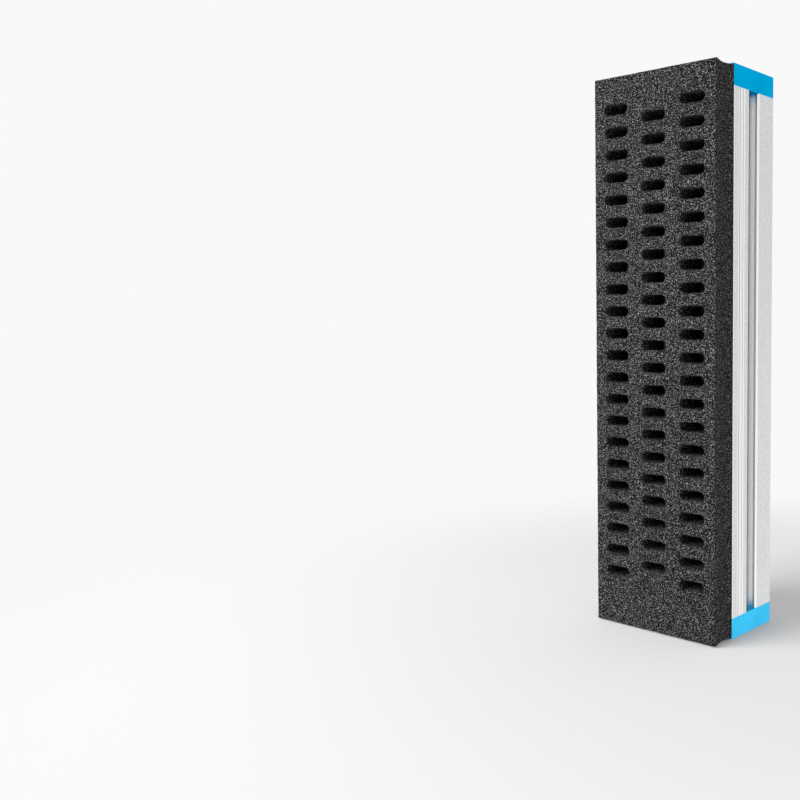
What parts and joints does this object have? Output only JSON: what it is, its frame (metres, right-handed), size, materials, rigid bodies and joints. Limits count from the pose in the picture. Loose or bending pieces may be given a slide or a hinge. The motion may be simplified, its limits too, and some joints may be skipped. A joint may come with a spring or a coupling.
{
  "type": "vacuum gripper",
  "caption": "Foam area gripper: a slotted sponge pad on an extruded aluminium vacuum body with T-slots, blue end caps, restrictor strips and a threaded vacuum port.",
  "frame": {"origin": "middle of the footprint, foam included, at the outer face of the lower end cap on which the gripper stands", "axes": "+Z along the length towards the end cap with the vacuum port, -Y out of the foam's suction face, +Y out of the mounting face"},
  "size_m": [0.12, 0.086, 0.45],
  "materials": {
    "aluminium_satin": "satin anodised",
    "cap_blue": "satin blue anodised",
    "foam_black": "open-cell sponge, matte",
    "gasket_black": "matte",
    "strip_plastic": "matte",
    "screw_black": "black oxide",
    "strainer_steel": "bright"
  },
  "bodies": {
    "root": {"profile": "aluminium_satin", "suction_base": "aluminium_satin", "end_cap_upper": "cap_blue", "end_cap_lower": "cap_blue", "end_gasket_upper": "gasket_black", "end_gasket_lower": "gasket_black", "foam_pad": "foam_black", "restrictor_strip_left": "strip_plastic", "restrictor_strip_middle": "strip_plastic", "restrictor_strip_right": "strip_plastic", "end_screws_upper": "screw_black", "end_screws_lower": "screw_black", "suspension_screws_upper": "screw_black", "suspension_screws_lower": "screw_black", "port_strainer": "strainer_steel"}
  },
  "joints": []
}
